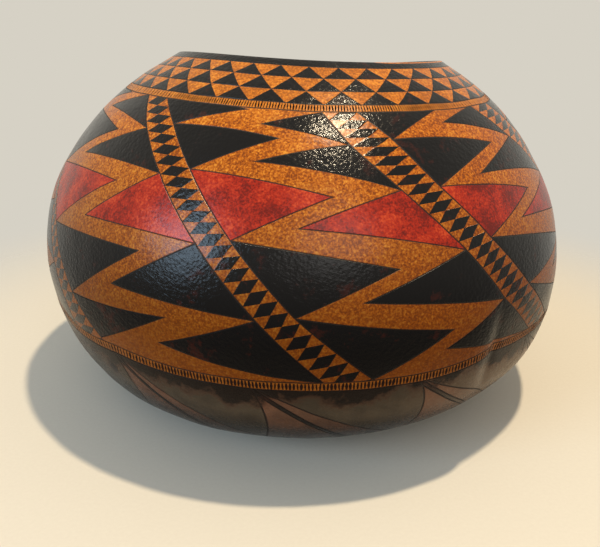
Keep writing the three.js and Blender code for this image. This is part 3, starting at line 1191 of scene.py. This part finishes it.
def border_line(wanted):
    """Points of the skin at the wanted distance down, one for each column of its faces."""
    points = []
    for column in range(AROUND):
        measured = ring_map[:, column, 1]
        order = np.argsort(measured)
        place = np.interp(wanted, measured[order], np.arange(len(measured))[order])
        first = int(place)
        share = place - first
        points.append(skin[first, column] * (1 - share) + skin[first + 1, column] * share)
    return np.array([*points, points[0]])


def border_path(name, wanted, spacing):
    """A closed line on the skin with a point for each stroke."""
    bearings = np.linspace(-180, 180, round(360 / BEARING_STEP) + 1)
    strokes_so_far = np.cumsum(BEARING_STEP / np.interp(bearings, *zip(*spacing)))
    count = int(strokes_so_far[-1])
    wanted_strokes = np.linspace(0, strokes_so_far[-1], count, endpoint=False)
    columns = np.interp(wanted_strokes, strokes_so_far, (bearings + 180) / 360 * AROUND)
    axes = border_line(wanted).T
    line = np.stack([np.interp(columns, np.arange(AROUND + 1), axis) for axis in axes], axis=1)
    mesh = bpy.data.meshes.new(name)
    edges = [(index, (index + 1) % count) for index in range(count)]
    mesh.from_pydata((line * MM).tolist(), edges, [])
    print(name, "has", count, "strokes")
    return add_object(name, mesh)


upper_heights = border_line(sum(UPPER_BORDER) / 2)[:, 2]
print("the upper border is %.0f to %.0f mm up" % (upper_heights.min(), upper_heights.max()))

# %% [markdown]
# Geometry Nodes suit what repeats. A border's middle line goes in with one point for each
# burnt stroke, or the pith goes in and points are scattered over it. One small form is put on
# each point, square to the skin, with a seeded slip in its turn and size. Growth is one such
# tree, and grow runs it on a piece.

# %% A helper for Geometry Nodes
class Growth(Tree):
    """A Geometry Nodes tree with named inputs."""

    def __init__(self, name, inputs):
        super().__init__(bpy.data.node_groups.new(name, "GeometryNodeTree"))
        self.keys = {}
        interface = self.tree.interface
        interface.new_socket("Geometry", in_out="INPUT", socket_type="NodeSocketGeometry")
        for label, kind in inputs.items():
            made = interface.new_socket(label, in_out="INPUT", socket_type=kind)
            self.keys[label] = made.identifier
        interface.new_socket("Geometry", in_out="OUTPUT", socket_type="NodeSocketGeometry")
        self.given = self.tree.nodes.new("NodeGroupInput").outputs

    def chance(self, low, high):
        """A random vector for each point, from the tree's seed."""
        inputs = {0: low, 1: high, "Seed": self.given["Seed"]}
        return self.add("FunctionNodeRandomValue", inputs, data_type="FLOAT_VECTOR")

    def facing(self, out, along):
        """A rotation whose Z points out and whose X turns towards another direction."""
        kind = "FunctionNodeAlignRotationToVector"
        upright = self.add(kind, {"Vector": out}, axis="Z")
        return self.add(kind, {"Rotation": upright, "Vector": along}, axis="X", pivot_axis="Z")

    def slipped(self, rotation, most):
        """The rotation after a random turn about its own Z, of at most the given radians."""
        turn = self.chance((0, 0, -most), (0, 0, most))
        slip = self.add("FunctionNodeEulerToRotation", {"Euler": turn})
        inputs = {"Rotation": rotation, "Rotate By": slip}
        return self.add("FunctionNodeRotateRotation", inputs, rotation_space="LOCAL")

    def scaled(self, geometry, *sizes):
        """The geometry stretched along X, Y and Z."""
        scale = self.add("ShaderNodeCombineXYZ", dict(zip("XYZ", sizes)))
        return self.add("GeometryNodeTransform", {"Geometry": geometry, "Scale": scale})

    def end(self, geometry, material):
        """Realizes the copies and gives them their material, as the last two nodes."""
        real = self.add("GeometryNodeRealizeInstances", {"Geometry": geometry})
        done = self.add("GeometryNodeSetMaterial", {"Geometry": real, "Material": material})
        self.tree.links.new(done, self.tree.nodes.new("NodeGroupOutput").inputs[0])
        print(self.tree.name, "tree:", len(self.tree.nodes), "nodes")


def grow(source, growth, values, name):
    """Runs a tree on an object and keeps the result as a plain mesh of its own."""
    modifier = source.modifiers.new("growth", "NODES")
    modifier.node_group = growth.tree
    for label, value in values.items():
        modifier[growth.keys[label]] = value
    depsgraph = bpy.context.evaluated_depsgraph_get()
    mesh = bpy.data.meshes.new_from_object(source.evaluated_get(depsgraph), depsgraph=depsgraph)
    source.modifiers.remove(modifier)
    mesh.name = name
    print(name, "has", len(mesh.polygons), "faces")
    return add_object(name, mesh)


print("ready to grow strokes and fibres")

# %% [markdown]
# A stroke is a small flattened spindle, half sunk in the skin. The tree finds which way is out
# of the rind at each point, lays the spindle across the line there, and lets it slip a little.

# %% Tree that hatches a border
STROKE_SLIP = 0.10
STROKE_LEAST, STROKE_MOST = (0.75, 0.88, 1), (1.3, 1.04, 1)

hatching = Growth("hatching", {
    "Rind": "NodeSocketObject", "Length": "NodeSocketFloat", "Width": "NodeSocketFloat",
    "Height": "NodeSocketFloat", "Seed": "NodeSocketInt",
})
given = hatching.given
curve = hatching.add("GeometryNodeMeshToCurve", {"Mesh": given["Geometry"]})
surface = hatching.add("GeometryNodeObjectInfo", {"Object": given["Rind"]}, "Geometry")
skin_normal = hatching.add("GeometryNodeInputNormal", {})
nearest = {"Mesh": surface, "Value": skin_normal}
square = hatching.add("GeometryNodeSampleNearestSurface", nearest, data_type="FLOAT_VECTOR")
tangent = hatching.add("GeometryNodeInputTangent", {})
spindle = hatching.add("GeometryNodeMeshUVSphere", {"Segments": 6, "Rings": 5, "Radius": 0.5})
strokes = hatching.add("GeometryNodeInstanceOnPoints", {
    "Points": curve,
    "Instance": hatching.scaled(spindle, given["Width"], given["Length"], given["Height"]),
    "Rotation": hatching.slipped(hatching.facing(square, tangent), STROKE_SLIP),
    "Scale": hatching.chance(STROKE_LEAST, STROKE_MOST),
})
hatching.end(strokes, stroke_material)

# %% Hatch both borders
UPPER_SPACING = [
    (-180, 1.0), (-90, 2.2), (-60, 2.0), (-50, 1.6), (-42, 1.25), (-35, 0.8), (-20, 0.75),
    (0, 0.77), (30, 0.7), (38, 0.8), (45, 1.25), (55, 1.6), (90, 1.6), (180, 1.0),
]
LOWER_SPACING = [
    (-180, 0.7), (-90, 1.3), (-50, 1.2), (-45, 0.95), (-35, 0.87), (-25, 0.71), (-20, 0.65),
    (20, 0.63), (40, 0.75), (60, 0.9), (180, 0.7),
]
UPPER_STROKE, LOWER_STROKE = 0.9, 1.6
STROKE_OVERLAP, STROKE_HEIGHT = 0.3, 0.16
BORDERS = {
    "hatching_upper": (UPPER_BORDER, UPPER_SPACING, UPPER_STROKE, 5),
    "hatching_lower": (LOWER_BORDER, LOWER_SPACING, LOWER_STROKE, 9),
}
hatchings = []
for name, ((top, bottom), spacing, width, seed) in BORDERS.items():
    path = border_path(name + "_path", (top + bottom) / 2, spacing)
    values = {
        "Rind": rind, "Length": (bottom - top + STROKE_OVERLAP) * MM, "Width": width * MM,
        "Height": STROKE_HEIGHT * MM, "Seed": seed,
    }
    hatchings.append(grow(path, hatching, values, name))
    bpy.data.objects.remove(path)

# %% [markdown]
# ## Fibres in the pith
#
# Scraping tears fibres loose. They lie along the wall, a centimetre or two long, and their ends
# dive back into it, because the wall curves away under a straight fibre. Points are scattered
# over the inner face with a fixed seed, and each gets one thin bent thread.

# %% Mark the faces that carry fibres
FIBRE_FREE_RINGS = 5
first_face_ring = 1 + len(pith_downs) - len(face_downs)
first_fibrous = PITH_AROUND * (first_face_ring + FIBRE_FREE_RINGS)
fibrous = np.arange(len(pith.data.polygons)) >= first_fibrous
pith.data.attributes.new("fibrous", "BOOLEAN", "FACE").data.foreach_set("value", fibrous)
print("faces that carry fibres:", int(fibrous.sum()))

# %% Tree that grows fibres
FIBRE_SLIP = 0.6
FIBRE_LEAST, FIBRE_MOST = (0.5, 0.5, 0.6), (1.5, 1.5, 1.2)
FIBRE_START, FIBRE_MIDDLE, FIBRE_END = (-0.5, 0, 0), (0.05, 0.14, 0.01), (0.5, 0, -0.01)

fibres = Growth("fibres", {
    "Density": "NodeSocketFloat", "Length": "NodeSocketFloat", "Thickness": "NodeSocketFloat",
    "Seed": "NodeSocketInt",
})
given = fibres.given
inside = fibres.add("GeometryNodeInputNamedAttribute", {"Name": "fibrous"}, data_type="BOOLEAN")
scatter = fibres.add("GeometryNodeDistributePointsOnFaces", {
    "Mesh": given["Geometry"], "Selection": inside, "Density": given["Density"],
    "Seed": given["Seed"],
})
thread = fibres.add("GeometryNodeCurveQuadraticBezier", {
    "Resolution": 5, "Start": FIBRE_START, "Middle": FIBRE_MIDDLE, "End": FIBRE_END,
})
section = fibres.add("GeometryNodeCurvePrimitiveCircle", {"Resolution": 4, "Radius": 1.0})
tube = fibres.add("GeometryNodeCurveToMesh", {
    "Curve": thread, "Profile Curve": fibres.scaled(section, *[given["Thickness"]] * 3),
    "Fill Caps": True,
})
laid = fibres.facing(scatter.node.outputs["Normal"], (0, 0, 1))
threads = fibres.add("GeometryNodeInstanceOnPoints", {
    "Points": scatter,
    "Instance": fibres.scaled(tube, *[given["Length"]] * 3),
    "Rotation": fibres.slipped(laid, FIBRE_SLIP),
    "Scale": fibres.chance(FIBRE_LEAST, FIBRE_MOST),
})
fibres.end(threads, pith_material)

# %% Grow the fibres
FIBRE_DENSITY, FIBRE_LENGTH, FIBRE_THICKNESS, FIBRE_SEED = 6500, 14, 0.012, 4
pith_fibres = grow(pith, fibres, {
    "Density": FIBRE_DENSITY, "Length": FIBRE_LENGTH * MM, "Thickness": FIBRE_THICKNESS,
    "Seed": FIBRE_SEED,
}, "pith_fibres")

# %% [markdown]
# ## Floor and light
#
# The bowl stands on a plain pale floor under one warm lamp, high up and a little to the right,
# which puts the shadow at its foot and a bright spot on its shoulder. A large cool light on the
# left stands for a window, and a weak broad one in front softens the shade. The floor fades
# into the room's colour with distance, so that no horizon cuts across the picture.

# %% Floor
FLOOR_RADIUS, FLOOR_EDGES = 0.6, 96
FLOOR_FADES, FLOOR_GONE = 0.26, 0.56
FLOOR_DARK, FLOOR_PALE = colour(224, 217, 204), colour(232, 226, 213)
rim_angles = np.linspace(0, 2 * np.pi, FLOOR_EDGES, endpoint=False)
rim = np.stack([np.cos(rim_angles), np.sin(rim_angles), 0 * rim_angles], axis=1) * FLOOR_RADIUS
floor_mesh = bpy.data.meshes.new("floor")
floor_mesh.from_pydata(rim.tolist(), [], [tuple(range(FLOOR_EDGES))])
floor = add_object("floor", floor_mesh)
floor_finish = Finish("floor")
tooth = floor_finish.speckle(size=2.5, detail=4)
centre = floor_finish.place()
away = floor_finish.add("ShaderNodeVectorMath", (centre,), "Value", operation="LENGTH")
floor_material = floor_finish.finish(floor_finish.surface({
    "Base Color": floor_finish.blend(tooth, FLOOR_DARK, FLOOR_PALE),
    "Roughness": 0.8,
    "Alpha": 1 - away.between(FLOOR_FADES, FLOOR_GONE),
}))
floor_mesh.materials.append(floor_material)

# %% Lamps: place, size in metres, watts and tint
LAMPS = {
    "ceiling": ((0.34, -0.3, 1.9), 0.08, 27, (1.0, 0.82, 0.57)),
    "window": ((-1.7, -1.3, 0.85), 1.1, 23, (0.56, 0.78, 1.0)),
    "front": ((0.5, -2.4, 1.5), 1.6, 12, (1.0, 0.98, 0.95)),
}
BOWL_MIDDLE = Vector((0, 0, 0.12))
for name, (place, size, power, tint) in LAMPS.items():
    light = bpy.data.lights.new(name, "AREA")
    light.shape, light.size, light.energy, light.color = "DISK", size, power, tint
    lamp = add_object(name, light)
    lamp.location = place
    lamp.rotation_euler = (BOWL_MIDDLE - Vector(place)).to_track_quat("-Z", "Y").to_euler()
    print(name, "lamp:", power, "watts")

# %% [markdown]
# The room is seen and reflected at full strength, as a pale wall would be, but it lights the
# bowl less, so that the lamps still shape it.

# %% Room
ROOM_LIGHT = 0.57
ROOM_COLOUR = colour(214, 209, 197)
world = bpy.data.worlds.new("room")
world.use_nodes = True
room = Tree(world.node_tree)
rays = room.tree.nodes.new("ShaderNodeLightPath").outputs
seen = rays["Is Camera Ray"]
for kind in ("Is Glossy Ray", "Is Transmission Ray"):
    seen = room.add("ShaderNodeMath", {0: seen, 1: rays[kind]}, operation="MAXIMUM")
brightness = room.add("ShaderNodeMapRange", {"Value": seen, "To Min": ROOM_LIGHT})
backdrop = room.tree.nodes["Background"]
backdrop.inputs["Color"].default_value = ROOM_COLOUR
room.tree.links.new(brightness, backdrop.inputs["Strength"])
bpy.context.scene.world = world
bpy.context.scene.view_settings.view_transform = "Standard"
print("the room lights the bowl at", ROOM_LIGHT, "of its brightness")

# %% [markdown]
# ## Tie everything to the model
#
# Nothing moves on a bowl, so every piece rides on the one body. Each fine piece stands in for
# the plain solid that it covers, and that solid is hidden.

# %% Ride and replace
COVERS = [
    (rind, "gourd_rind", "rind"),
    (pith, "pith_lining", "pith"),
    (scar, "blossom_scar", "scar"),
]
EXTRAS = [(hatchings[0], "rind"), (hatchings[1], "rind"), (pith_fibres, "pith")]
for piece, node, material_slot in COVERS:
    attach(piece, "root")
    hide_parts(node)
for piece, material_slot in EXTRAS:
    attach(piece, "root")
